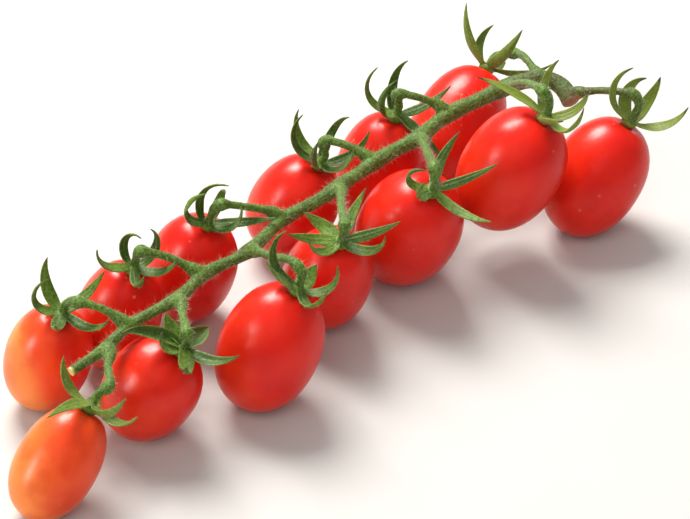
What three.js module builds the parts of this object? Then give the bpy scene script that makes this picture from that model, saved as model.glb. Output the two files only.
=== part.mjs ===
// A truss of plum-shaped cherry tomatoes, cut from the plant and lying on a surface.
// Millimetres, +Z up. X runs along the main stem, from its thin tip to its thick cut base.
// The fruit stand on their blossom ends in two rows, and the stem lies over the valley between them.
import * as THREE from "three";

// Sizes of the green parts.
const CLEARANCE = 0.3; // gap kept between pieces that touch
const STEM_TIP_RADIUS = 1.25;
const STEM_BASE_RADIUS = 2.3;
const STEM_NODE_SWELLING = 0.4; // extra radius where a stalk leaves the stem
const STEM_NODE_REACH = 6; // how far along the stem that swelling fades out
const STALK_RADIUS = 1.1;
const STALK_FOOT_RADIUS = 1.4; // where it leaves the stem
const STALK_FOOT_REACH = 4;
const STALK_SHOULDER = 1; // its first straight stretch
const STALK_NECK = 2; // its last one, down into the calyx
const MOST_SLANT = 0.6; // the most that a stalk's foot slants along the stem, as a cosine
const KNUCKLE_RADIUS = 1.6;
const KNUCKLE_REACH = 2.5;
const KNUCKLE_HEIGHT = 7.5; // above the fruit's calyx end
const HUB_RADIUS = 2.7;
const HUB_HEIGHT = 1.5;
const SEPAL_ROOT_WIDTH = 1.9;
const SEPAL_WIDTH = 3.2;
const SEPAL_THICKNESS = 0.7;
const SEPAL_WIDEST = 0.3; // how far along a sepal it is widest
const SEPAL_TAPER = 2.2; // 1 tapers evenly, and more keeps it broad for longer

// Sizes that all the fruit share.
const DIMPLE_RADIUS = 5;
const DIMPLE_DEPTH = 1.3;
const SCAR_DEPTH = 0.3; // of the blossom scar
const FULLNESS = 2.15; // 2 gives an ellipse, and more gives fuller shoulders

// Steps of the surfaces.
const FRUIT_SIDES = 16;
const FRUIT_ROWS = 10;
const STEM_SIDES = 10;
const STEM_STEPS = 44;
const STALK_SIDES = 7;
const STALK_STEPS = 10;
const SEPAL_STEPS = 6;

// The underside of the main stem, from its tip to its cut base, as it lies over the fruit.
const STEM_LINE = [
  [-91, 5, 27.5],
  [-79.5, 4.5, 29.2],
  [-71, 6, 30.2],
  [-63, 5.5, 30.6],
  [-54, 5, 31],
  [-43, 7.5, 31],
  [-31, 6.5, 30.9],
  [-22.5, 8, 30.8],
  [-13, 10.5, 30.7],
  [-1, 10, 30.7],
  [12, 11, 30.6],
  [28.5, 11.5, 31.1],
  [38, 10.5, 31.6],
  [50, 12.5, 31.5],
  [62.5, 11, 31.9],
  [75, 7.5, 33.3],
  [81, 3.5, 33.2],
  [82.5, -1, 32.2],
  [81, -6, 30.1],
];

// The fruit in order from the tip of the stem to its base.
// place: where the middle of the fruit stands, in X and Y.
// lifted: how far it is held off the surface by the fruit under it.
// swings and leans: the way its blossom end points, and how far its axis leans from upright, in degrees.
// leaves: how far along the stem its stalk starts.
// bend: how far the stalk's knuckle is off the fruit's axis, and arch: how far the stalk bows upwards.
// sepals: for each, its turn round the calyx, length, rise at the root, curl to the tip and sweep.
const FRUIT = [
  {
    place: [-105, -5.5], lifted: 0, swings: 180, leans: 45, width: 21, length: 32.5,
    leaves: 12, bend: [0.5, 2], arch: 0,
    sepals: [[9, 18, -7, -25, 10], [62, 19, -12, 80, -10], [105, 15.5, -18, 75, -55], [215, 12, -5, 40, 0],
      [325, 13.5, 3, 70, -10]],
  },
  {
    place: [-82, 25.5], lifted: 0, swings: 120, leans: 17, width: 22.6, length: 33,
    leaves: 21, bend: [-2.5, 1.5], arch: 1.5,
    sepals: [[35, 17, 0, 140, -10], [95, 14, 5, 60, 0], [155, 16, 0, 80, 0], [245, 14, 10, 60, 0],
      [335, 15, 20, 80, 0]],
  },
  {
    place: [-70, -1], lifted: 0, swings: 132, leans: 32, width: 24.4, length: 31.5,
    leaves: 37, bend: [2.5, 2], arch: 0,
    sepals: [[0, 17.5, 3, 5, 55], [43, 13, -3, 85, -15], [107, 15.5, -9, 75, -55], [158, 15, 14, 65, -5],
      [244, 11, 4, 0, 0], [315, 8, -4, 55, 20]],
  },
  {
    place: [-58, 25.5], lifted: 0, swings: 127, leans: 16, width: 22.8, length: 34.5,
    leaves: 48, bend: [-0.5, 1.5], arch: 1.5,
    sepals: [[40, 16, 0, 80, 10], [105, 16, -10, 100, 0], [160, 14, 15, 70, 0], [220, 15, 40, 110, 0],
      [330, 14, 30, 150, -10]],
  },
  {
    place: [-39.5, -13], lifted: 0, swings: 154, leans: 24, width: 26.6, length: 38,
    leaves: 64, bend: [3.5, -0.5], arch: 0,
    sepals: [[15, 15, 25, 20, 0], [87, 18, -15, 110, 0], [145, 14, 10, 120, 0], [224, 6.5, 39, 35, -5],
      [326, 18, 2, 125, 0]],
  },
  {
    place: [-31.5, 26.5], lifted: 0, swings: 105, leans: 19, width: 24.2, length: 36,
    leaves: 80, bend: [-0.5, -1], arch: 1.5,
    sepals: [[50, 17, 10, 150, -10], [175, 17, 25, 100, 10], [216, 16, 17, 10, 0], [280, 14, 35, 120, 20],
      [355, 19, 50, 110, 10]],
  },
  {
    place: [-8, -1.5], lifted: 0, swings: 75, leans: 23, width: 24, length: 36,
    leaves: 100, bend: [0.5, 0], arch: 0,
    sepals: [[18, 10, -11, 45, 30], [66, 13.5, -2, 45, 15], [115, 18, 14, 70, -45], [210, 18, 12, 95, 5],
      [260, 15, 5, 50, -10], [315, 15, -9, 40, -10]],
  },
  {
    place: [9, 29.5], lifted: 0, swings: 130, leans: 27, width: 24.2, length: 32.5,
    leaves: 115, bend: [2.5, -0.5], arch: 1.5,
    sepals: [[15, 19, 0, 110, -30], [65, 17, 25, 60, -20], [140, 14, 30, 90, 0], [205, 17, 25, 90, 0],
      [275, 18, 40, 100, 20], [325, 16, -10, 100, 30]],
  },
  {
    place: [21, -3], lifted: 0, swings: 85, leans: 27, width: 28, length: 40.5,
    leaves: 131, bend: [2.5, 0], arch: 0,
    sepals: [[55, 15, -10, 180, -20], [105, 17, 20, 90, -20], [190, 18, 0, 50, 10], [255, 17, 10, 40, 0],
      [315, 16, 4, 40, -30]],
  },
  {
    place: [36.5, 24], lifted: 0, swings: 149, leans: 15, width: 24.2, length: 35,
    leaves: 145, bend: [1.5, 0], arch: 1.5,
    sepals: [[30, 17, 10, 140, -10], [130, 17, -10, -12, 0], [195, 16, 10, 50, 0], [285, 18, 45, 90, 10],
      [340, 18, 0, 130, 20]],
  },
  {
    place: [50.5, -12.5], lifted: 10.5, swings: 139, leans: 27, width: 27.5, length: 38.5,
    leaves: 163, bend: [4.5, 0.5], arch: 2.5,
    sepals: [[70, 18, 25, 20, 30], [120, 17, -10, 140, -20], [190, 14, 20, 100, 0], [290, 16, 25, 90, 0],
      [340, 19, 10, -20, 10]],
  },
  {
    place: [67.5, 24.5], lifted: 0, swings: 190, leans: 52, width: 25.2, length: 38,
    leaves: 174, bend: [-1.5, 4.5], arch: 2,
    sepals: [[45, 16, 20, 60, 0], [115, 17, 5, 60, 0], [190, 13, 5, 50, 0], [265, 14, 30, 100, 0],
      [320, 18, 20, 50, 0]],
  },
  {
    place: [76.5, -20.5], lifted: 0, swings: 161, leans: 33, width: 26, length: 37,
    leaves: 183, bend: [2, -1.5], arch: 1.5,
    sepals: [[135, 16, 15, 80, 0], [220, 16, 35, 100, -10], [280, 15, 20, 130, 10], [330, 18, 5, 130, -10]],
  },
];

const UP = new THREE.Vector3(0, 0, 1);
const radians = THREE.MathUtils.degToRad;
const blend = THREE.MathUtils.lerp;

const stemGreen = new THREE.MeshStandardMaterial({ color: 0x5f8f3a, roughness: 0.75 });
const stalkGreen = new THREE.MeshStandardMaterial({ color: 0x6f9f45, roughness: 0.75 });
const calyxGreen = new THREE.MeshStandardMaterial({ color: 0x4c7a30, roughness: 0.7 });
const ripeRed = new THREE.MeshStandardMaterial({ color: 0xe0281f, roughness: 0.25 });
const halfRipe = new THREE.MeshStandardMaterial({ color: 0xe8562a, roughness: 0.25 });

// A closed mesh from points and the triangles between them, with flat faces.
function closedMesh(points, triangles, material) {
  const geometry = new THREE.BufferGeometry();
  geometry.setAttribute("position", new THREE.Float32BufferAttribute(points.flatMap((p) => p.toArray()), 3));
  geometry.setIndex(triangles.flat());
  geometry.computeVertexNormals();
  return new THREE.Mesh(geometry, material);
}

// The two triangles of the strip between rings a and b at place j, each ring holding n points.
function strip(a, b, j, n) {
  const k = (j + 1) % n;
  return [[a + j, a + k, b + k], [a + j, b + k, b + j]];
}

// A round rod along a curve, capped flat at both ends. radiusAt gives its radius at a point of the curve
// and a distance along it, and the ends are square to the directions given.
function rod(curve, steps, sides, radiusAt, startsAlong, endsAlong) {
  const length = curve.getLength();
  const points = [];
  const triangles = [];
  const tangent = (i) => {
    if (i === 0 && startsAlong) return startsAlong;
    if (i === steps && endsAlong) return endsAlong;
    return curve.getTangentAt(i / steps);
  };
  let across = new THREE.Vector3().crossVectors(UP, tangent(0));
  if (across.length() < 0.2) across.set(0, 1, 0);
  for (let i = 0; i <= steps; i++) {
    const along = tangent(i);
    across.addScaledVector(along, -across.dot(along)).normalize();
    const other = new THREE.Vector3().crossVectors(along, across);
    const middle = curve.getPointAt(i / steps);
    const radius = radiusAt(middle, (i / steps) * length);
    for (let j = 0; j < sides; j++) {
      const angle = (j / sides) * 2 * Math.PI;
      const point = middle.clone().addScaledVector(across, radius * Math.cos(angle));
      points.push(point.addScaledVector(other, radius * Math.sin(angle)));
    }
    if (i > 0) {
      for (let j = 0; j < sides; j++) triangles.push(...strip((i - 1) * sides, i * sides, j, sides));
    }
  }
  const first = points.push(curve.getPointAt(0)) - 1;
  const last = points.push(curve.getPointAt(1)) - 1;
  for (let j = 0; j < sides; j++) {
    const k = (j + 1) % sides;
    triangles.push([first, k, j], [last, steps * sides + j, steps * sides + k]);
  }
  return [points, triangles];
}

// --- The main stem

// The middle line stands above the underside by the radius there.
const stemMiddle = STEM_LINE.map(([x, y, underside], i) => {
  const radius = blend(STEM_TIP_RADIUS, STEM_BASE_RADIUS, i / (STEM_LINE.length - 1));
  return new THREE.Vector3(x, y, underside + radius);
});
const stemCurve = new THREE.CatmullRomCurve3(stemMiddle, false, "centripetal");
stemCurve.arcLengthDivisions = 600;
const stemLength = stemCurve.getLength();

// A bump that is 1 at its middle and fades smoothly to 0 at its reach.
function bump(distance, reach) {
  const share = Math.min(Math.abs(distance) / reach, 1);
  return (1 - share ** 2) ** 2;
}

function stemRadius(distance) {
  const plain = blend(STEM_TIP_RADIUS, STEM_BASE_RADIUS, distance / stemLength);
  const nearest = Math.min(...FRUIT.map((f) => Math.abs(f.leaves - distance)));
  return plain + STEM_NODE_SWELLING * bump(nearest, STEM_NODE_REACH);
}

function mainStem() {
  const mesh = closedMesh(
    ...rod(stemCurve, STEM_STEPS, STEM_SIDES, (point, distance) => stemRadius(distance)), stemGreen);
  mesh.name = "main_stem";
  return mesh;
}

// --- The tomatoes

// The outline from the blossom end up to the calyx end, as radius and height from the middle.
function tomatoOutline({ width, length }) {
  const outline = [];
  for (let i = 0; i <= FRUIT_ROWS; i++) {
    const angle = (i / FRUIT_ROWS - 0.5) * Math.PI;
    const radius = (width / 2) * Math.max(Math.cos(angle), 0) ** (2 / FULLNESS);
    const height = (length / 2) * Math.sign(angle) * Math.abs(Math.sin(angle)) ** (2 / FULLNESS);
    const dip = angle > 0 ? DIMPLE_DEPTH * Math.max(1 - radius / DIMPLE_RADIUS, 0) ** 2 : 0;
    const scar = i === 0 ? SCAR_DEPTH : 0;
    outline.push(new THREE.Vector2(i % FRUIT_ROWS ? radius : 0, height - dip + scar));
  }
  return outline;
}

// The height of the fruit's surface under the rim of the calyx hub.
function seatHeight(f) {
  const outline = tomatoOutline(f);
  const outer = outline.findLastIndex((p) => p.x > HUB_RADIUS && p.y > 0);
  const [a, b] = [outline[outer], outline[outer + 1]];
  return blend(b.y, a.y, (HUB_RADIUS - b.x) / (a.x - b.x));
}

// How far the middle of a leaning fruit stands above its lowest point.
function restingHeight(f) {
  const lean = radians(f.leans);
  return -Math.min(...tomatoOutline(f).map((p) => p.y * Math.cos(lean) - p.x * Math.sin(lean)));
}

function tomato(f, skin) {
  const geometry = new THREE.LatheGeometry(tomatoOutline(f), FRUIT_SIDES);
  geometry.rotateX(Math.PI / 2);
  return new THREE.Mesh(geometry, skin);
}

// --- The calyxes

// The middle line, side and upper directions of a sepal, from its root on the rim of the hub.
function sepalSteps([turn, length, rise, curl, sweep]) {
  const rootReach = Math.sqrt(HUB_RADIUS ** 2 - (SEPAL_ROOT_WIDTH / 2) ** 2);
  const root = new THREE.Vector3(rootReach, 0, HUB_HEIGHT / 2).applyAxisAngle(UP, radians(turn));
  const steps = [];
  const middle = root.clone();
  for (let i = 1; i <= SEPAL_STEPS; i++) {
    const share = (i - 0.5) / SEPAL_STEPS;
    const climb = radians(rise + curl * share);
    const heading = radians(turn + sweep * share);
    const outward = new THREE.Vector3(Math.cos(heading), Math.sin(heading), 0);
    const side = new THREE.Vector3(-Math.sin(heading), Math.cos(heading), 0);
    const along = outward.clone().multiplyScalar(Math.cos(climb)).addScaledVector(UP, Math.sin(climb));
    middle.addScaledVector(along, length / SEPAL_STEPS);
    const upper = new THREE.Vector3().crossVectors(along, side);
    steps.push({ middle: middle.clone(), side, upper });
  }
  return steps;
}

// A lance-shaped blade: it widens from its root, then narrows to a point.
function sepalWidth(share) {
  const grown = Math.min(share / SEPAL_WIDEST, 1);
  return blend(SEPAL_ROOT_WIDTH, SEPAL_WIDTH, grown) * (1 - share ** SEPAL_TAPER);
}

// One hub with its sepals. Each sepal grows out of its own facet of the hub's rim.
function calyx(f) {
  const points = [new THREE.Vector3(0, 0, 0), new THREE.Vector3(0, 0, HUB_HEIGHT)];
  const triangles = [];
  const halfRoot = Math.asin(SEPAL_ROOT_WIDTH / 2 / HUB_RADIUS);
  const rim = f.sepals.flatMap(([turn]) => [radians(turn) - halfRoot, radians(turn) + halfRoot]);
  const low = (j) => 2 + 2 * (j % rim.length);
  const high = (j) => low(j) + 1;
  for (const angle of rim) {
    const [x, y] = [HUB_RADIUS * Math.cos(angle), HUB_RADIUS * Math.sin(angle)];
    points.push(new THREE.Vector3(x, y, 0), new THREE.Vector3(x, y, HUB_HEIGHT));
  }
  rim.forEach((angle, j) => {
    triangles.push([0, low(j + 1), low(j)], [1, high(j), high(j + 1)]);
    const isGap = j % 2 === 1;
    if (isGap) triangles.push([low(j), low(j + 1), high(j + 1)], [low(j), high(j + 1), high(j)]);
  });
  f.sepals.forEach((sepal, i) => {
    let ring = [low(2 * i), low(2 * i + 1), high(2 * i + 1), high(2 * i)];
    sepalSteps(sepal).forEach(({ middle, side, upper }, step) => {
      const share = (step + 1) / SEPAL_STEPS;
      if (share === 1) {
        const tip = points.push(middle) - 1;
        ring.forEach((corner, j) => triangles.push([corner, ring[(j + 1) % 4], tip]));
        return;
      }
      const halfWidth = sepalWidth(share) / 2;
      const halfThickness = (SEPAL_THICKNESS / 2) * (1 - share / 2);
      const next = [[-1, -1], [1, -1], [1, 1], [-1, 1]].map(([across, over]) => {
        const corner = middle.clone().addScaledVector(side, across * halfWidth);
        return points.push(corner.addScaledVector(upper, over * halfThickness)) - 1;
      });
      ring.forEach((corner, j) => {
        const k = (j + 1) % 4;
        triangles.push([corner, ring[k], next[k]], [corner, next[k], next[j]]);
      });
      ring = next;
    });
  });
  return closedMesh(points, triangles, calyxGreen);
}

// --- The stalks

// A stalk slants out of the stem, bows over to its knuckle and comes down the fruit's axis.
function stalk(f, place) {
  const foot = stemCurve.getPointAt(f.leaves / stemLength);
  const alongStem = stemCurve.getTangentAt(f.leaves / stemLength);
  const hubTop = seatHeight(f) + CLEARANCE + HUB_HEIGHT;
  const end = place.localToWorld(new THREE.Vector3(0, 0, hubTop + CLEARANCE));
  const neck = place.localToWorld(new THREE.Vector3(0, 0, hubTop + CLEARANCE + STALK_NECK));
  const knuckle = place.localToWorld(new THREE.Vector3(...f.bend, hubTop + KNUCKLE_HEIGHT - HUB_HEIGHT));
  const middle = foot.clone().lerp(knuckle, 0.5).addScaledVector(UP, f.arch);
  const out = middle.clone().sub(foot).normalize();
  const slant = Math.max(-MOST_SLANT, Math.min(MOST_SLANT, out.dot(alongStem)));
  const squareness = Math.sqrt(1 - slant ** 2);
  out.addScaledVector(alongStem, -out.dot(alongStem)).setLength(squareness).addScaledVector(alongStem, slant);
  const clear = stemRadius(f.leaves) + CLEARANCE + (STALK_FOOT_RADIUS / 2) * Math.abs(slant);
  const start = foot.clone().addScaledVector(out, clear / squareness);
  const shoulder = start.clone().addScaledVector(out, STALK_SHOULDER);
  const route = [start, shoulder, middle, knuckle, neck, end];
  const curve = new THREE.CatmullRomCurve3(route, false, "centripetal");
  const radiusAt = (point, distance) => {
    const flare = (STALK_FOOT_RADIUS - STALK_RADIUS) * bump(distance, STALK_FOOT_REACH);
    const knot = (KNUCKLE_RADIUS - STALK_RADIUS) * bump(point.distanceTo(knuckle), KNUCKLE_REACH);
    return STALK_RADIUS + flare + knot;
  };
  const down = end.clone().sub(neck).normalize();
  return closedMesh(...rod(curve, STALK_STEPS, STALK_SIDES, radiusAt, out, down), stalkGreen);
}

// --- The truss

const truss = new THREE.Group();
truss.add(mainStem());
FRUIT.forEach((f, i) => {
  const number = String(i + 1).padStart(2, "0");
  const place = new THREE.Group();
  place.position.set(...f.place, restingHeight(f) + f.lifted);
  place.rotation.set(0, -radians(f.leans), radians(f.swings), "ZYX");
  place.updateMatrixWorld(true);

  const body = tomato(f, i < 2 ? halfRipe : ripeRed);
  body.name = `tomato_${number}`;
  const cap = calyx(f);
  cap.name = `calyx_${number}`;
  cap.position.z = seatHeight(f) + CLEARANCE;
  place.add(body, cap);

  const stem = stalk(f, place);
  stem.name = `stalk_${number}`;
  truss.add(place, stem);
});

// The origin is on the surface, under the middle of the truss.
truss.updateMatrixWorld(true);
const extent = new THREE.Box3().setFromObject(truss, true);
truss.position.set(
  -(extent.min.x + extent.max.x) / 2, -(extent.min.y + extent.max.y) / 2, -extent.min.z);

const bunch = new THREE.Group();
bunch.add(truss);
export default bunch;
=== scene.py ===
import math

import bmesh
import bpy
import numpy as np
from mathutils import Matrix, Vector


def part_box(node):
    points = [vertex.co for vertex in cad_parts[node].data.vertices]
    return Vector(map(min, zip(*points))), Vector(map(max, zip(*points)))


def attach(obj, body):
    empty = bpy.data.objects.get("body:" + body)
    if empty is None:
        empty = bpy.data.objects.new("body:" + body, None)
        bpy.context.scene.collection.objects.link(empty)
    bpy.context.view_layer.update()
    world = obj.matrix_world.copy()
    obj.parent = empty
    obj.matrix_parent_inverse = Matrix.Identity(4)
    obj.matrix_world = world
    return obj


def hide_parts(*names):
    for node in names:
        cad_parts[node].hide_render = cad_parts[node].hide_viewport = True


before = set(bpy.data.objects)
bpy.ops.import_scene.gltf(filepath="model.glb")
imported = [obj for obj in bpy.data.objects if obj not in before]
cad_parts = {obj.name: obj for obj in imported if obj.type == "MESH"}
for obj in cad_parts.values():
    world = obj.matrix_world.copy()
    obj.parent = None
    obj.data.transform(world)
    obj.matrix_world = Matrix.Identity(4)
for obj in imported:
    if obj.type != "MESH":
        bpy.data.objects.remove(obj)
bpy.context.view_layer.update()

MM = 0.001
UP = Vector((0, 0, 1))

# --- Where the truss is seen from
CAMERA_TURN = -44  # degrees round from the front
CAMERA_RISE = 38  # degrees above the surface
CAMERA_REACH = 900 * MM
CAMERA_LENS = 176
LAMP_COLOUR = (1.0, 0.96, 0.9)
LOOK_AT = Vector((11 * MM, -3.4 * MM, 18 * MM))

# --- The vine
VINE_VOXEL = 0.3 * MM
VINE_SMOOTHING = 7
FOOT_FLARE = 0.5 * MM  # extra radius where a stalk grows out of the stem
FOOT_REACH = 4.5 * MM
KNUCKLE_GAIN = 0.25 * MM  # the knuckle's extra radius over the plain model's
KNUCKLE_REACH = 2.5 * MM
STALK_END_REACH = 1.6 * MM  # how far a stalk goes on into its calyx
STALK_END_GAIN = 0.5 * MM  # its extra radius there
STEM_DEPTH = 2.5 * MM  # from a stalk's start in to the middle of the stem
STEM_SPOTS = 400  # places tried along the stem for the foot of a stalk
CUT_OVERLAP = 1.0 * MM  # how far the stem goes on before it is sliced
CUT_REACH = 3.8 * MM
CUT_EDGE = 0.7 * MM  # how deep the colour of a cut face goes
LUMP_SIZE = 5 * MM
LUMP_HEIGHT = 0.35 * MM
PIMPLE_SIZE = 0.8 * MM
PIMPLE_HEIGHT = 0.16 * MM
PALE_KNUCKLE_REACH = 4 * MM
PALE_STALK_REACH = 3 * MM
WOODY_REACH = 28 * MM

# --- The hairs
HAIRS_ON_VINE = 8000
HAIRS_ON_CALYX = 500
LONGEST_VINE_HAIR = 2.2 * MM
LONGEST_CALYX_HAIR = 0.8 * MM
HAIR_RADIUS = 0.024 * MM
HAIR_SPREAD = 0.45  # how unevenly the hairs lean
SHORTEST_HAIR = 0.4  # its square is a share of the longest hair's length

# --- The fruit
FRUIT_FULLNESS = 2.15
DIMPLE_RADIUS = 5 * MM
DIMPLE_DEPTH = 1.2 * MM
NIPPLE_HEIGHT = 0.5 * MM
NIPPLE_RADIUS = 2.6 * MM
SCAR_RADIUS = 0.9 * MM
HALF_RIPE = ("01", "02")
PALE_SIDE = np.array([-0.7193, 0.6947, -0.25])  # the side of a fruit that ripens last
# For each fruit: how ripe it is on its paler side and on its redder side, from 0 to 1.
RIPENESS = {"01": (0.02, 0.46), "02": (-0.4, 0.86), "03": (0.66, 0.95), "04": (0.6, 1.0)}
FULLY_RIPE = (0.8, 1.0)

# --- The calyxes
HUB_SIZE = Vector((2.3, 2.3, 1.5)) * MM  # half sizes
HUB_SINK = 0.75 * MM  # how far it is sunk towards the fruit
ROOT_DEPTH = 0.2  # how far from the middle of the hub a sepal starts, as a share
SEPAL_COLUMNS = 4
SEPAL_ROWS = 14
SEPAL_WIDTH_SHARE = 1.1  # of the plain model's
SEPAL_TWIST = 0.55  # how far a sepal turns its face to the open side along its length, from 0 to 1
BROAD_SEPALS = {"13": 1.35, "03": 1.3, "01": 1.2, "02": 1.15, "12": 1.1}
FULL_LENGTH = 14.5 * MM  # a sepal shorter than this is stubbier and broader
STUBBINESS = 0.7
CUPPED_SEPALS = {"03": 2.0}
SEPAL_EDGE = 0.38 * MM
SEPAL_MIDRIB = 0.95 * MM
SEPAL_WIDEST = 0.3  # how far along a sepal it is widest
SEPAL_ROOT_SHARE = 0.62  # its width at the root, as a share of its widest
SEPAL_TAPER = 2.4  # 1 tapers evenly, and more keeps it broad for longer
YELLOW_SEPALS = {"11": 0.55, "13": 0.5, "01": 0.15, "12": 0.2}
DRY_TIPS = {"13": 1.0, "11": 1.0}


# === Reading the plain model ===

def welded(node):
    """The node's triangles as one bmesh with shared corners."""
    bm = bmesh.new()
    bm.from_mesh(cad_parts[node].data)
    bmesh.ops.remove_doubles(bm, verts=bm.verts, dist=1e-6)
    return bm


def layers_from(start, most=None):
    """Groups of corners, each group one edge further from the start corner."""
    seen = {start}
    layers = [[start]]
    while layers[-1] and (most is None or len(layers) < most):
        beyond = []
        for corner in layers[-1]:
            for edge in corner.link_edges:
                other = edge.other_vert(corner)
                if other not in seen:
                    seen.add(other)
                    beyond.append(other)
        layers.append(beyond)
    return [layer for layer in layers if layer]


def middle_of(corners):
    return sum((c.co for c in corners), Vector()) / len(corners)


def rod_line(node):
    """The middle points and radii of a capped round rod, from one end to the other."""
    bm = welded(node)
    cap = next(v for v in bm.verts if len(v.link_edges) > 6)
    line = []
    for ring in layers_from(cap)[1:-1]:
        middle = middle_of(ring)
        radius = sum((c.co - middle).length for c in ring) / len(ring)
        line.append((middle, radius))
    bm.free()
    return line


def fruit_place(number):
    """The fruit's middle, its axis towards the calyx, its width and its length."""
    bm = welded("tomato_" + number)
    low, high = [v.co.copy() for v in bm.verts if len(v.link_edges) == 16]
    hub = sum(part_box("calyx_" + number), Vector()) / 2
    if (low - hub).length < (high - hub).length:
        low, high = high, low
    axis = (high - low).normalized()
    heights = [(v.co - low).dot(axis) for v in bm.verts]
    middle = low + axis * (min(heights) + max(heights)) / 2
    radii = [((v.co - middle) - axis * (v.co - middle).dot(axis)).length for v in bm.verts]
    length = max(heights) - min(heights)
    bm.free()
    return middle, axis, 2 * max(radii), length


def sepal_lines(number):
    """For each sepal: its middle points, side directions and widths, from its root to its tip."""
    bm = welded("calyx_" + number)
    sepals = []
    for tip in [v for v in bm.verts if len(v.link_edges) == 4]:
        rings = [r for r in layers_from(tip, most=7)[1:] if len(r) == 4]
        middles, sides, widths = [tip.co.copy()], [], [0.0]
        for ring in rings:
            middle = middle_of(ring)
            points = np.array([c.co - middle for c in ring])
            widest = np.linalg.svd(points)[2][0]
            side = Vector(widest)
            if sides and side.dot(sides[-1]) < 0:
                side = -side
            middles.append(middle)
            sides.append(side)
            widths.append(2 * max(abs((c.co - middle).dot(side)) for c in ring))
        sides.insert(0, sides[0])
        sepals.append((middles[::-1], sides[::-1], widths[::-1]))
    bm.free()
    return sepals


# === Small modelling helpers ===

def smooth_line(points, share):
    """A smooth curve through the points, at a share of the way along it."""
    spans = len(points) - 1
    place = min(max(share, 0.0), 1.0) * spans
    i = min(int(place), spans - 1)
    t = place - i
    b, c = points[i], points[i + 1]
    a = points[i - 1] if i > 0 else b * 2 - c
    d = points[i + 2] if i + 2 <= spans else c * 2 - b
    bend = (b * 2) + (c - a) * t + (a * 2 - b * 5 + c * 4 - d) * t**2 + (b * 3 - a - c * 3 + d) * t**3
    return bend * 0.5


def only(piece):
    """Selects one piece and makes it active."""
    bpy.ops.object.select_all(action="DESELECT")
    piece.select_set(True)
    bpy.context.view_layer.objects.active = piece
    return piece


def apply_all(piece):
    """Applies the piece's modifiers in order."""
    only(piece)
    for modifier in list(piece.modifiers):
        bpy.ops.object.modifier_apply(modifier=modifier.name)


def join(pieces, name):
    """Joins several mesh pieces into one."""
    bpy.ops.object.select_all(action="DESELECT")
    for piece in pieces:
        piece.select_set(True)
    bpy.context.view_layer.objects.active = pieces[0]
    if len(pieces) > 1:
        bpy.ops.object.join()
    pieces[0].name = name
    pieces[0].data.name = name
    return pieces[0]


def copy_of(piece, name):
    """A copy with its own mesh, selected."""
    copy = piece.copy()
    copy.data = piece.data.copy()
    copy.name = copy.data.name = name
    bpy.context.scene.collection.objects.link(copy)
    return only(copy)


def settle(piece, place=None):
    """Moves a piece to its place, and carries the place over to its mesh."""
    only(piece)
    if place is not None:
        piece.matrix_world = place
    bpy.ops.object.transform_apply(location=True, rotation=True, scale=True)
    return piece


def stood_on(middle, axis):
    """The place of a piece whose middle and upward axis are given."""
    return Matrix.Translation(middle) @ UP.rotation_difference(axis).to_matrix().to_4x4()


def add_modifier(piece, kind, **settings):
    """Adds a modifier with its settings, to be applied later."""
    modifier = piece.modifiers.new(kind.lower(), kind)
    for key, value in settings.items():
        setattr(modifier, key, value)


def corner_places(piece):
    """The places of all the corners of a piece, one a row."""
    places = np.zeros(len(piece.data.vertices) * 3)
    piece.data.vertices.foreach_get("co", places)
    return places.reshape(-1, 3)


def away(places, spot):
    """The distance of each place from a spot."""
    return np.linalg.norm(places - np.array(spot), axis=1)


def set_mask(piece, name, values):
    """Stores one number for each corner, for the material to read."""
    attribute = piece.data.attributes.get(name) or piece.data.attributes.new(name, "FLOAT", "POINT")
    attribute.data.foreach_set("value", np.asarray(values, np.float32))


def finish_piece(piece, slot, *nodes):
    """Says what the piece rides on and hides the plain nodes that it stands for. Its finish, slot, is not
    used.
    """
    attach(piece, "root")
    if nodes:
        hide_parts(*nodes)


# === Material helpers ===

def rgba(red, green, blue):
    """A solid colour."""
    return (red, green, blue, 1.0)


class Nodes:
    """Builds a node tree a node at a time."""

    def __init__(self, tree):
        self.tree = tree

    def add(self, kind, inputs=None, **settings):
        node = self.tree.nodes.new(kind)
        for key, value in settings.items():
            setattr(node, key, value)
        for key, value in (inputs or {}).items():
            if isinstance(value, bpy.types.NodeSocket):
                self.tree.links.new(value, node.inputs[key])
            else:
                node.inputs[key].default_value = value
        return node

    def mix(self, share, first, second, blend_type="MIX"):
        node = self.add("ShaderNodeMix", data_type="RGBA", blend_type=blend_type)
        for socket, value in ((node.inputs[0], share), (node.inputs[6], first), (node.inputs[7], second)):
            if isinstance(value, bpy.types.NodeSocket):
                self.tree.links.new(value, socket)
            else:
                socket.default_value = value
        return node.outputs[2]

    def math(self, operation, first, second=0.0, clamp=False):
        node = self.add("ShaderNodeMath", operation=operation, use_clamp=clamp)
        for socket, value in ((node.inputs[0], first), (node.inputs[1], second)):
            if isinstance(value, bpy.types.NodeSocket):
                self.tree.links.new(value, socket)
            else:
                socket.default_value = value
        return node.outputs[0]

    def span(self, value, low, high, to_low=0.0, to_high=1.0):
        """Carries a range of values over to another, smoothly."""
        node = self.add("ShaderNodeMapRange", {"Value": value, "From Min": low, "From Max": high,
                        "To Min": to_low, "To Max": to_high}, interpolation_type="SMOOTHSTEP")
        return node.outputs[0]

    def mask(self, name):
        return self.add("ShaderNodeAttribute", attribute_name=name).outputs["Fac"]

    def group(self, tree, **inputs):
        node = self.add("ShaderNodeGroup", node_tree=tree)
        for key, value in inputs.items():
            socket = node.inputs[key.replace("_", " ")]
            if isinstance(value, bpy.types.NodeSocket):
                self.tree.links.new(value, socket)
            else:
                socket.default_value = value
        return node


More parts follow.
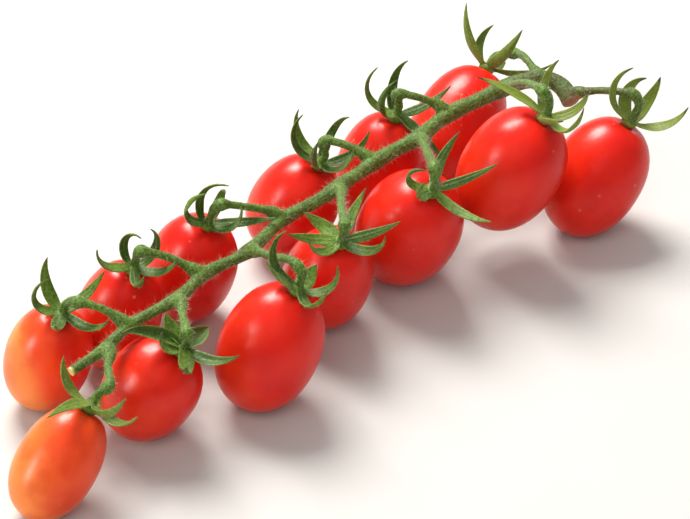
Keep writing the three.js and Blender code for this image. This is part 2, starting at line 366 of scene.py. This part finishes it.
def new_group(name, inputs, outputs):
    """An empty node group with number inputs and outputs."""
    tree = bpy.data.node_groups.new(name, "ShaderNodeTree")
    for label, value in inputs.items():
        tree.interface.new_socket(label, in_out="INPUT", socket_type="NodeSocketFloat").default_value = value
    for label in outputs:
        tree.interface.new_socket(label, in_out="OUTPUT", socket_type="NodeSocketFloat")
    nodes = Nodes(tree)
    return tree, nodes, nodes.add("NodeGroupInput"), nodes.add("NodeGroupOutput")


def mottle_group():
    """Soft cloudy patches of a given size, from 0 to 1."""
    tree, nodes, given, out = new_group("mottle", {"Scale": 100.0, "Contrast": 1.0, "Detail": 3.0}, ["Mask"])
    place = nodes.add("ShaderNodeTexCoord").outputs["Object"]
    noise = nodes.add("ShaderNodeTexNoise", {"Vector": place, "Scale": given.outputs["Scale"],
                      "Detail": given.outputs["Detail"], "Roughness": 0.55})
    centred = nodes.math("SUBTRACT", noise.outputs["Fac"], 0.5)
    spread = nodes.math("MULTIPLY", centred, given.outputs["Contrast"])
    tree.links.new(nodes.math("ADD", spread, 0.5, clamp=True), out.inputs["Mask"])
    return tree


def speckle_group():
    """Small separate dots of a given size, 1 in the middle of a dot and 0 between them."""
    tree, nodes, given, out = new_group("speckle", {"Scale": 900.0, "Size": 0.3}, ["Mask"])
    place = nodes.add("ShaderNodeTexCoord").outputs["Object"]
    cells = nodes.add("ShaderNodeTexVoronoi", {"Vector": place, "Scale": given.outputs["Scale"]})
    nearness = nodes.math("SUBTRACT", given.outputs["Size"], cells.outputs["Distance"])
    tree.links.new(nodes.math("DIVIDE", nearness, given.outputs["Size"], clamp=True), out.inputs["Mask"])
    return tree


MOTTLE = mottle_group()
SPECKLE = speckle_group()


def new_material(name, **sockets):
    """A material with a Principled shader whose plain values are set on its own sockets."""
    material = bpy.data.materials.new(name)
    material.use_nodes = True
    shader = material.node_tree.nodes["Principled BSDF"]
    for key, value in sockets.items():
        shader.inputs[key.replace("_", " ")].default_value = value
    return material, Nodes(material.node_tree), shader


def bump(nodes, shader, height, strength, distance):
    """Raises the surface by a height pattern."""
    node = nodes.add("ShaderNodeBump", {"Height": height, "Strength": strength, "Distance": distance})
    nodes.tree.links.new(node.outputs["Normal"], shader.inputs["Normal"])


def tomato_skin(name):
    """Waxy thin skin, from orange where it is still ripening to deep red."""
    material, nodes, shader = new_material(
        name, Subsurface_Weight=0.1, Subsurface_Scale=2 * MM, Specular_IOR_Level=0.26)
    shader.inputs["Subsurface Radius"].default_value = (1.0, 0.2, 0.1)
    patches = nodes.group(MOTTLE, Scale=85.0, Contrast=1.6).outputs["Mask"]
    fine = nodes.group(MOTTLE, Scale=900.0, Contrast=1.5).outputs["Mask"]
    dots = nodes.group(SPECKLE, Scale=1300.0, Size=0.2).outputs["Mask"]
    scuffs = nodes.group(SPECKLE, Scale=260.0, Size=0.16).outputs["Mask"]
    ripe = nodes.math("ADD", nodes.mask("ripeness"), nodes.span(patches, 0, 1, -0.06, 0.06), clamp=True)
    orange = nodes.mix(nodes.span(ripe, 0.0, 0.45), rgba(0.90, 0.25, 0.045), rgba(0.86, 0.075, 0.015))
    red = nodes.mix(nodes.span(ripe, 0.5, 1.0), orange, rgba(0.73, 0.014, 0.006))
    deep = nodes.mix(nodes.span(patches, 0.35, 0.9, 0.0, 0.4), red, rgba(0.52, 0.004, 0.005))
    freckled = nodes.mix(nodes.math("MULTIPLY", few(nodes, dots, fine), 0.12), deep,
                         rgba(0.9, 0.3, 0.16))
    skin = nodes.mix(nodes.math("MULTIPLY", few(nodes, scuffs, patches), 0.6), freckled,
                     rgba(0.85, 0.45, 0.2))
    scar = nodes.mask("scar")
    colour = nodes.mix(scar, skin, rgba(0.16, 0.07, 0.025))
    nodes.tree.links.new(colour, shader.inputs["Base Color"])
    nodes.tree.links.new(nodes.span(fine, 0, 1, 0.27, 0.36), shader.inputs["Roughness"])
    relief = nodes.math("ADD", nodes.math("MULTIPLY", patches, 0.8), nodes.math("MULTIPLY", fine, 0.06))
    bump(nodes, shader, relief, 0.35, 0.5 * MM)
    return material


def few(nodes, dots, patches):
    """Keeps only some of the dots, in drifts."""
    return nodes.math("MULTIPLY", dots, nodes.span(patches, 0.55, 0.8))


def vine_skin():
    """Green stem skin: mottled, speckled with hair roots, paler at the knuckles, brown near the base."""
    material, nodes, shader = new_material(
        "vine_skin", Specular_IOR_Level=0.25, Subsurface_Weight=0.05, Subsurface_Scale=0.8 * MM,
        Sheen_Weight=0.12, Sheen_Roughness=0.5)
    shader.inputs["Sheen Tint"].default_value = rgba(0.8, 0.95, 0.6)
    patches = nodes.group(MOTTLE, Scale=260.0, Contrast=2.0).outputs["Mask"]
    fine = nodes.group(MOTTLE, Scale=1500.0, Contrast=2.6).outputs["Mask"]
    dots = nodes.group(SPECKLE, Scale=1700.0, Size=0.42).outputs["Mask"]
    green = nodes.mix(patches, rgba(0.043, 0.092, 0.008), rgba(0.13, 0.225, 0.022))
    pale = nodes.mix(nodes.mask("pale"), green, rgba(0.16, 0.31, 0.045))
    brown = nodes.mix(nodes.math("MULTIPLY", nodes.mask("woody"), patches), pale, rgba(0.085, 0.062, 0.027))
    grainy = nodes.mix(nodes.span(fine, 0.2, 0.9, 0.0, 0.75), brown, rgba(0.018, 0.046, 0.007))
    dotted = nodes.mix(nodes.math("MULTIPLY", dots, 0.3), grainy, rgba(0.25, 0.40, 0.11))
    wood = nodes.mix(nodes.mask("woody"), rgba(0.66, 0.66, 0.22), rgba(0.24, 0.19, 0.09))
    cut = nodes.mix(nodes.mask("cut"), dotted, wood)
    nodes.tree.links.new(cut, shader.inputs["Base Color"])
    nodes.tree.links.new(nodes.span(fine, 0, 1, 0.48, 0.7), shader.inputs["Roughness"])
    relief = nodes.math("ADD", nodes.math("MULTIPLY", patches, 0.5), nodes.math("MULTIPLY", dots, 0.35))
    bump(nodes, shader, nodes.math("ADD", relief, nodes.math("MULTIPLY", fine, 0.3)), 0.8, 0.3 * MM)
    return material


def sepal_skin(name, shadow, light):
    """Leafy green with a paler midrib and edges, and a dry tip. Its two greens depend on the face."""
    material, nodes, shader = new_material(
        name, Specular_IOR_Level=0.25, Subsurface_Weight=0.08, Subsurface_Scale=0.8 * MM, Sheen_Weight=0.08,
        Sheen_Roughness=0.5)
    shader.inputs["Sheen Tint"].default_value = rgba(0.8, 0.95, 0.6)
    uv = nodes.add("ShaderNodeSeparateXYZ", {"Vector": nodes.add("ShaderNodeUVMap").outputs["UV"]})
    off_middle = nodes.math("ABSOLUTE", nodes.math("SUBTRACT", uv.outputs["X"], 0.5))
    patches = nodes.group(MOTTLE, Scale=330.0, Contrast=2.0).outputs["Mask"]
    fine = nodes.group(MOTTLE, Scale=1500.0, Contrast=2.6).outputs["Mask"]
    green = nodes.mix(patches, shadow, light)
    rib = nodes.span(off_middle, 0.02, 0.16, 0.3, 0.0)
    ribbed = nodes.mix(rib, green, rgba(0.17, 0.29, 0.055))
    edged = nodes.mix(nodes.span(off_middle, 0.38, 0.5, 0.0, 0.4), ribbed, rgba(0.19, 0.32, 0.07))
    grainy = nodes.mix(nodes.span(fine, 0.25, 0.9, 0.0, 0.5), edged, rgba(0.016, 0.045, 0.007))
    yellowed = nodes.mix(nodes.mask("yellow"), grainy, rgba(0.27, 0.33, 0.05))
    dryness = nodes.math("MULTIPLY", nodes.span(uv.outputs["Y"], 0.8, 1.0), nodes.mask("dry"))
    colour = nodes.mix(dryness, yellowed, rgba(0.05, 0.03, 0.018))
    nodes.tree.links.new(colour, shader.inputs["Base Color"])
    nodes.tree.links.new(nodes.span(fine, 0, 1, 0.42, 0.62), shader.inputs["Roughness"])
    relief = nodes.math("ADD", nodes.math("MULTIPLY", rib, 1.5), nodes.math("MULTIPLY", fine, 0.5))
    bump(nodes, shader, relief, 0.7, 0.2 * MM)
    return material


def hair_skin():
    """Pale see-through hairs, greener at some places than at others."""
    material, nodes, shader = new_material("plant_hair", Roughness=0.45, Sheen_Weight=0.2)
    patches = nodes.group(MOTTLE, Scale=500.0, Contrast=2.0).outputs["Mask"]
    colour = nodes.mix(patches, rgba(0.34, 0.44, 0.2), rgba(0.72, 0.76, 0.55))
    nodes.tree.links.new(colour, shader.inputs["Base Color"])
    return material


def floor_paper():
    """Plain pale paper."""
    material, nodes, shader = new_material("floor_paper", Roughness=0.85)
    grain = nodes.group(MOTTLE, Scale=40.0, Contrast=0.6).outputs["Mask"]
    colour = nodes.mix(grain, rgba(0.56, 0.56, 0.555), rgba(0.60, 0.60, 0.595))
    nodes.tree.links.new(colour, shader.inputs["Base Color"])
    return material


# === The vine: the main stem and the stalks, grown as one ===

def rod(name, points, radii):
    """A round rod along a smooth line through the points."""
    curve = bpy.data.curves.new(name, "CURVE")
    curve.dimensions = "3D"
    curve.bevel_depth = 1.0
    curve.bevel_resolution = 4
    curve.use_fill_caps = True
    spline = curve.splines.new("POLY")
    steps = 5 * (len(points) - 1)
    spline.points.add(steps)
    for i in range(steps + 1):
        share = i / steps
        spline.points[i].co = (*smooth_line(points, share), 1)
        spline.points[i].radius = smooth_line([Vector((r, 0)) for r in radii], share).x
    piece = bpy.data.objects.new(name, curve)
    bpy.context.scene.collection.objects.link(piece)
    only(piece)
    bpy.ops.object.convert(target="MESH")
    return bpy.context.view_layer.objects.active


def stem_line():
    """The middle points and radii of the main stem, from its tip to its base."""
    line = rod_line("main_stem")
    return line if line[0][0].x < line[-1][0].x else line[::-1]


def stalk_line(number, stem):
    """The middle points and radii of a stalk, from the stem to its calyx."""
    line = rod_line("stalk_" + number)
    first, last = (min((m - end).length for m, r in stem) for end in (line[0][0], line[-1][0]))
    return line if first < last else line[::-1]


def knuckle_of(line):
    """The middle of the stalk's swelling, which is its widest place away from both ends."""
    inner = line[3:-1]
    return max(inner, key=lambda step: step[1])[0]


def stalk_rod(number, line, stem):
    """A stalk that starts inside the stem with a flared foot and ends inside the calyx."""
    back = line[0][0] - (line[1][0] - line[0][0]).normalized() * STEM_DEPTH
    spots = [smooth_line([m for m, r in stem], i / STEM_SPOTS) for i in range(STEM_SPOTS + 1)]
    foot = min(spots, key=lambda spot: (spot - back).length)
    end = line[-1][0] + (line[-1][0] - line[-2][0]).normalized() * STALK_END_REACH
    points = [foot] + [middle for middle, radius in line] + [end]
    knuckle = knuckle_of(line)
    radii = [line[0][1] + FOOT_FLARE]
    for middle, radius in line:
        flare = FOOT_FLARE * max(1 - (middle - line[0][0]).length / FOOT_REACH, 0) ** 2
        swelling = KNUCKLE_GAIN * max(1 - (middle - knuckle).length / KNUCKLE_REACH, 0)
        radii.append(radius + flare + swelling)
    radii.append(line[-1][1] + STALK_END_GAIN)
    return rod("stalk_" + number + "_rod", points, radii)


def cut_end(vine, place, outward):
    """Slices the vine square at a cut end and leaves a flat face there."""
    only(vine)
    bpy.ops.object.mode_set(mode="EDIT")
    bpy.ops.mesh.select_all(action="DESELECT")
    bpy.ops.object.mode_set(mode="OBJECT")
    for corner in vine.data.vertices:
        corner.select = (corner.co - place).length < CUT_REACH
    bpy.ops.object.mode_set(mode="EDIT")
    bpy.ops.mesh.select_mode(type="VERT")
    bpy.ops.mesh.bisect(plane_co=place, plane_no=outward, use_fill=True, clear_outer=True)
    bpy.ops.object.mode_set(mode="OBJECT")


def ends_of(stem):
    """The two cut ends of the stem, its tip and its base: their places and the ways they face."""
    tip, base = stem[0][0], stem[-1][0]
    return [(tip, (tip - stem[1][0]).normalized()), (base, (base - stem[-2][0]).normalized())]


def make_vine(numbers, material):
    """The stem and all its stalks grown into one skin, with a square cut at the tip."""
    stem = stem_line()
    tip, tip_out = ends_of(stem)[0]
    points = [tip + tip_out * CUT_OVERLAP] + [m for m, r in stem]
    radii = [stem[0][1]] + [r for m, r in stem]
    stalks = {number: stalk_line(number, stem) for number in numbers}
    rods = [rod("stem_rod", points, radii)]
    rods += [stalk_rod(number, line, stem) for number, line in stalks.items()]
    vine = join(rods, "vine")
    add_modifier(vine, "REMESH", mode="VOXEL", voxel_size=VINE_VOXEL, use_smooth_shade=True)
    add_modifier(vine, "SMOOTH", factor=0.5, iterations=VINE_SMOOTHING)
    lumps = bpy.data.textures.new("vine_lumps", "CLOUDS")
    lumps.noise_scale = LUMP_SIZE
    add_modifier(vine, "DISPLACE", texture=lumps, strength=LUMP_HEIGHT, mid_level=0.5)
    pimples = bpy.data.textures.new("vine_pimples", "CLOUDS")
    pimples.noise_scale = PIMPLE_SIZE
    add_modifier(vine, "DISPLACE", texture=pimples, strength=PIMPLE_HEIGHT, mid_level=0.5)
    apply_all(vine)
    cut_end(vine, tip, tip_out)
    bpy.ops.object.shade_smooth_by_angle(angle=math.radians(50))
    mark_vine(vine, stem, stalks)
    vine.data.materials.append(material)
    finish_piece(vine, "stem_green", "main_stem", *["stalk_" + number for number in numbers])
    return vine


def mark_vine(vine, stem, stalks):
    """Marks where the vine is pale, woody and cut."""
    places = corner_places(vine)
    pale = np.full(len(places), 0.1)
    for line in stalks.values():
        knuckle = knuckle_of(line)
        pale += 0.75 * np.clip(1 - away(places, knuckle) / PALE_KNUCKLE_REACH, 0, 1)
        for middle, radius in line:
            near = away(places, middle) < PALE_STALK_REACH
            pale[near] = np.maximum(pale[near], 0.4)
    set_mask(vine, "pale", np.clip(pale, 0, 1))
    woody = np.clip(1 - away(places, stem[-1][0]) / WOODY_REACH, 0, 1)
    set_mask(vine, "woody", np.clip(woody * 1.6, 0, 1))
    cut = np.zeros(len(places))
    for place, outward in ends_of(stem):
        depth = -((places - np.array(place)) @ np.array(outward))
        near = away(places, place) < CUT_REACH
        cut[near] = np.clip(1.2 - depth[near] / CUT_EDGE, 0, 1)
    set_mask(vine, "cut", cut)


# === The fruit ===

def fruit_form(radius_share, height_share, turn, width, length, lobes, lean, depth):
    """Where a point of a round ball goes on a plum-shaped fruit. The shares are from -1 to 1."""
    radius = width / 2 * abs(radius_share) ** (2 / FRUIT_FULLNESS)
    height = length / 2 * math.copysign(abs(height_share) ** (2 / FRUIT_FULLNESS), height_share)
    radius *= 1 - lean * height_share * (1 - height_share**2)
    shoulder = max(height_share, 0) ** 2 * radius_share * 2
    radius *= 1 + depth * shoulder * math.cos(lobes * turn + lobes)
    if height > 0 and radius < DIMPLE_RADIUS:
        height -= DIMPLE_DEPTH * (1 - (radius / DIMPLE_RADIUS) ** 2) ** 2
    if height < 0 and radius < NIPPLE_RADIUS:
        height -= NIPPLE_HEIGHT * (1 - (radius / NIPPLE_RADIUS) ** 2) ** 2
    return radius, height


def make_ball():
    """The round ball that each fruit is shaped from."""
    bpy.ops.object.select_all(action="DESELECT")
    bpy.ops.mesh.primitive_uv_sphere_add(segments=40, ring_count=28, radius=1)
    return bpy.context.view_layer.objects.active


def make_tomato(number, ball, skins, rng):
    """One plum-shaped fruit, a little lobed at the shoulder and no two alike."""
    middle, axis, width, length = fruit_place(number)
    fruit = copy_of(ball, "fruit_" + number)
    lobes, lean, depth = int(rng.integers(3, 6)), rng.uniform(-0.03, 0.06), rng.uniform(0.01, 0.022)
    scar = []
    for corner in fruit.data.vertices:
        x, y, z = corner.co
        turn = math.atan2(y, x)
        radius, height = fruit_form(math.hypot(x, y), z, turn, width, length, lobes, lean, depth)
        corner.co = (radius * math.cos(turn), radius * math.sin(turn), height)
        scar.append(1.0 if z < 0 and radius < SCAR_RADIUS else 0.0)
    set_mask(fruit, "scar", scar)
    add_modifier(fruit, "SUBSURF", levels=2, render_levels=2)
    apply_all(fruit)
    bpy.ops.object.shade_smooth()
    settle(fruit, stood_on(middle, axis))
    set_mask(fruit, "ripeness", ripeness_of(fruit, number, middle, width))
    finish = "half_ripe_skin" if number in HALF_RIPE else "ripe_skin"
    fruit.data.materials.append(skins[finish])
    finish_piece(fruit, finish, "tomato_" + number)


def ripeness_of(fruit, number, middle, width):
    """How ripe each corner is."""
    palest, reddest = RIPENESS.get(number, FULLY_RIPE)
    side = (corner_places(fruit) - np.array(middle)) @ PALE_SIDE / (width / 2)
    return palest + (reddest - palest) * np.clip(0.62 - 0.55 * side, 0, 1)


# === The calyxes ===

def make_blank():
    """The flat square of leaf that each sepal is shaped from; its two faces' skins are given to it
    afterwards.
    """
    bpy.ops.object.select_all(action="DESELECT")
    bpy.ops.mesh.primitive_grid_add(x_subdivisions=SEPAL_COLUMNS, y_subdivisions=SEPAL_ROWS, size=2)
    return bpy.context.view_layer.objects.active


def make_sepal(name, blank, line, axis, breadth, cupped, rng):
    """One lance-shaped leaf along its line: cupped towards its upper face, with a thick midrib."""
    middles, sides, widths = line
    leaf = copy_of(blank, name)
    broad = max(widths) * SEPAL_WIDTH_SHARE * breadth * rng.uniform(0.9, 1.15)
    cup = rng.uniform(0.2, 0.5) * cupped
    ripple = rng.uniform(0.1, 0.25) * MM
    phase = rng.uniform(0, 6)
    thick = leaf.vertex_groups.new(name="thick")
    faces = leaf_faces(middles, sides, axis)
    for corner in leaf.data.vertices:
        across, share = corner.co.x, (corner.co.y + 1) / 2
        middle = smooth_line(middles, share)
        side, over = faces[round(share * SEPAL_ROWS)]
        half = broad / 2 * leaf_outline(share)
        raised = cup * abs(across) ** 1.6 * half + ripple * across * math.sin(9 * share + phase) * (1 - share)
        corner.co = middle + side * across * half + over * raised
        thick.add([corner.index], (1 - abs(across)) ** 1.5 * (1 - share) ** 0.4, "REPLACE")
    add_modifier(leaf, "SOLIDIFY", thickness=SEPAL_MIDRIB, offset=0.0, vertex_group="thick",
                 thickness_vertex_group=SEPAL_EDGE / SEPAL_MIDRIB, material_offset=1, material_offset_rim=0)
    add_modifier(leaf, "SUBSURF", levels=1, render_levels=1)
    set_mask(leaf, "dry", np.full(len(leaf.data.vertices), rng.choice([0.0, 0.2, 0.6])))
    apply_all(leaf)
    return leaf


def leaf_faces(middles, sides, axis):
    """For each row of a sepal, its side direction and the way that its upper face looks."""
    open_side = toward(Vector(), CAMERA_TURN, CAMERA_RISE, 1)
    facing = 1 if (middles[1] - middles[0]).cross(sides[0]).dot(axis) > 0 else -1
    rows = []
    for row in range(SEPAL_ROWS + 1):
        share = row / SEPAL_ROWS
        ahead = (smooth_line(middles, share + 0.03) - smooth_line(middles, share - 0.03)).normalized()
        side = smooth_line(sides, share)
        before = rows[-1][0] if rows else side
        opened = ahead.cross(open_side)
        if opened.dot(before) < 0:
            opened = -opened
        twist = SEPAL_TWIST * min(share / 0.4, 1)
        side = side * (1 - twist) + opened * twist + before
        side = (side - ahead * side.dot(ahead)).normalized()
        rows.append((side, ahead.cross(side) * facing))
    return rows


def leaf_outline(share):
    """The share of its full width that a sepal has along its length."""
    grown = min(share / SEPAL_WIDEST, 1)
    grown = grown * grown * (3 - 2 * grown)
    return (SEPAL_ROOT_SHARE + (1 - SEPAL_ROOT_SHARE) * grown) * max(1 - share**SEPAL_TAPER, 0.02)


def make_hub():
    """The low green cushion that the sepals grow from."""
    bpy.ops.object.select_all(action="DESELECT")
    bpy.ops.mesh.primitive_uv_sphere_add(segments=20, ring_count=12, radius=1)
    hub = bpy.context.view_layer.objects.active
    hub.scale = HUB_SIZE
    bpy.ops.object.shade_smooth()
    set_mask(hub, "dry", np.zeros(len(hub.data.vertices)))
    return settle(hub)


def make_calyx(number, blank, hub, rng):
    """A fruit's sepals and the hub they grow from, as one piece."""
    axis = fruit_place(number)[1]
    lines = sepal_lines(number)
    hub_middle = sum((line[0][0] for line in lines), Vector()) / len(lines)
    breadth, cupped = BROAD_SEPALS.get(number, 1), CUPPED_SEPALS.get(number, 1)
    leaves = []
    for i, (middles, sides, widths) in enumerate(lines):
        root = hub_middle + (middles[0] - hub_middle) * ROOT_DEPTH
        line = ([root] + middles, [sides[0]] + sides, [widths[0]] + widths)
        length = sum((b - a).length for a, b in zip(middles, middles[1:]))
        stubby = max(FULL_LENGTH / length, 1) ** STUBBINESS
        leaves.append(make_sepal(f"sepal_{number}_{i}", blank, line, axis, breadth * stubby, cupped, rng))
    own_hub = settle(copy_of(hub, "hub_" + number), stood_on(hub_middle - axis * HUB_SINK, axis))
    calyx = join([*leaves, own_hub], "sepals_" + number)
    corners = len(calyx.data.vertices)
    set_mask(calyx, "yellow", np.full(corners, YELLOW_SEPALS.get(number, 0)))
    if number in DRY_TIPS:
        set_mask(calyx, "dry", np.full(corners, DRY_TIPS[number]))
    bpy.ops.object.shade_smooth_by_angle(angle=math.radians(60))
    finish_piece(calyx, "calyx_green", "calyx_" + number)
    return calyx


# === Hairs ===

def make_hairs(name, grown_on, count, longest, rng, material):
    """Fine hairs that stand out from each of the pieces they grow on, all in one mesh."""
    bpy.ops.object.select_all(action="DESELECT")
    bpy.ops.mesh.primitive_cone_add(vertices=3, radius1=1, radius2=0, depth=1)
    hairs = bpy.context.view_layer.objects.active
    hairs.name = hairs.data.name = name
    shape = corner_places(hairs) + np.array([0, 0, 0.5])
    sides = [tuple(face.vertices) for face in hairs.data.polygons]
    corners, faces = [], []
    for piece in grown_on:
        areas = np.zeros(len(piece.data.polygons))
        piece.data.polygons.foreach_get("area", areas)
        for index in rng.choice(len(areas), count, p=areas / areas.sum()):
            face = piece.data.polygons[int(index)]
            ahead = Vector(face.normal) + Vector(rng.normal(0, HAIR_SPREAD, 3))
            turn = np.array(UP.rotation_difference(ahead.normalized()).to_matrix())
            tall = longest * rng.uniform(SHORTEST_HAIR, 1) ** 2
            size = np.array([HAIR_RADIUS, HAIR_RADIUS, tall])
            faces += [tuple(k + len(corners) for k in side) for side in sides]
            corners += ((shape * size) @ turn.T + np.array(face.center)).tolist()
    mesh = bpy.data.meshes.new(name)
    mesh.from_pydata(corners, [], faces)
    hairs.data = mesh
    mesh.materials.append(material)
    finish_piece(hairs, "stem_green")


# === The studio ===

def make_floor():
    bpy.ops.object.select_all(action="DESELECT")
    bpy.ops.mesh.primitive_plane_add(size=6)
    floor = bpy.context.view_layer.objects.active
    floor.name = "floor"
    floor.location.z = -0.05 * MM
    floor.data.materials.append(floor_paper())


def toward(target, turn, rise, reach):
    """A point at a distance from the target, on a bearing and a height angle."""
    turn, rise = math.radians(turn), math.radians(rise)
    way = Vector((math.sin(turn) * math.cos(rise), -math.cos(turn) * math.cos(rise), math.sin(rise)))
    return target + way * reach


def aim(thing, target):
    thing.rotation_euler = (target - thing.location).to_track_quat("-Z", "Y").to_euler()


def soft_light(name, turn, rise, reach, size, power, tall=None, shines=True, lights=True):
    """A soft square or upright lamp. It may show in gloss, light the surfaces, or both."""
    light = bpy.data.lights.new(name, "AREA")
    light.shape = "RECTANGLE"
    light.size = size
    light.size_y = tall or size
    light.energy = power
    light.color = LAMP_COLOUR
    lamp = bpy.data.objects.new(name, light)
    bpy.context.scene.collection.objects.link(lamp)
    lamp.location = toward(LOOK_AT, turn, rise, reach)
    lamp.visible_glossy = shines
    lamp.visible_diffuse = lights
    aim(lamp, LOOK_AT)


def make_studio():
    make_floor()
    bpy.context.scene.view_settings.view_transform = "Standard"  # keeps the reds as vivid as they are
    world = bpy.data.worlds.new("studio")
    bpy.context.scene.world = world
    world.use_nodes = True
    world.node_tree.nodes["Background"].inputs["Color"].default_value = rgba(1.0, 0.99, 0.97)
    world.node_tree.nodes["Background"].inputs["Strength"].default_value = 0.32
    soft_light("main_softbox", CAMERA_TURN - 155, 56, 1.0, 0.5, 17)
    soft_light("main_gleam", CAMERA_TURN - 150, 58, 1.02, 0.42, 11, lights=False)
    soft_light("side_gleam", CAMERA_TURN - 66, 20, 1.02, 0.2, 4, tall=0.42, lights=False)
    soft_light("side_strip", CAMERA_TURN - 62, 18, 1.0, 0.16, 2.4, tall=0.5)
    soft_light("front_fill", CAMERA_TURN - 8, 48, 1.6, 1.0, 9, shines=False)


def make_camera():
    camera = bpy.data.cameras.new("camera")
    camera.lens = CAMERA_LENS
    camera.clip_start = 0.01
    holder = bpy.data.objects.new("camera", camera)
    bpy.context.scene.collection.objects.link(holder)
    holder.location = toward(LOOK_AT, CAMERA_TURN, CAMERA_RISE, CAMERA_REACH)
    aim(holder, LOOK_AT)
    bpy.context.scene.camera = holder


def make_truss():
    """The whole bunch. The seeded draws follow the order here."""
    numbers = sorted(name[-2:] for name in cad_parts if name.startswith("tomato_"))
    rng = np.random.default_rng(11)
    skins = {name: tomato_skin(name) for name in ("ripe_skin", "half_ripe_skin")}
    leaf_skins = [
        sepal_skin("sepal_under", rgba(0.085, 0.165, 0.014), rgba(0.18, 0.295, 0.032)),
        sepal_skin("sepal_upper", rgba(0.035, 0.08, 0.009), rgba(0.085, 0.165, 0.02)),
    ]
    vine = make_vine(numbers, vine_skin())
    ball, blank, hub = make_ball(), make_blank(), make_hub()
    for skin in leaf_skins:
        blank.data.materials.append(skin)
    hub.data.materials.append(leaf_skins[0])
    for number in numbers:
        make_tomato(number, ball, skins, rng)
    calyxes = [make_calyx(number, blank, hub, rng) for number in numbers]
    for pattern in (ball, blank, hub):
        bpy.data.objects.remove(pattern)
    hair = hair_skin()
    make_hairs("vine_hairs", [vine], HAIRS_ON_VINE, LONGEST_VINE_HAIR, rng, hair)
    make_hairs("calyx_hairs", calyxes, HAIRS_ON_CALYX, LONGEST_CALYX_HAIR, rng, hair)


make_truss()
make_studio()
make_camera()
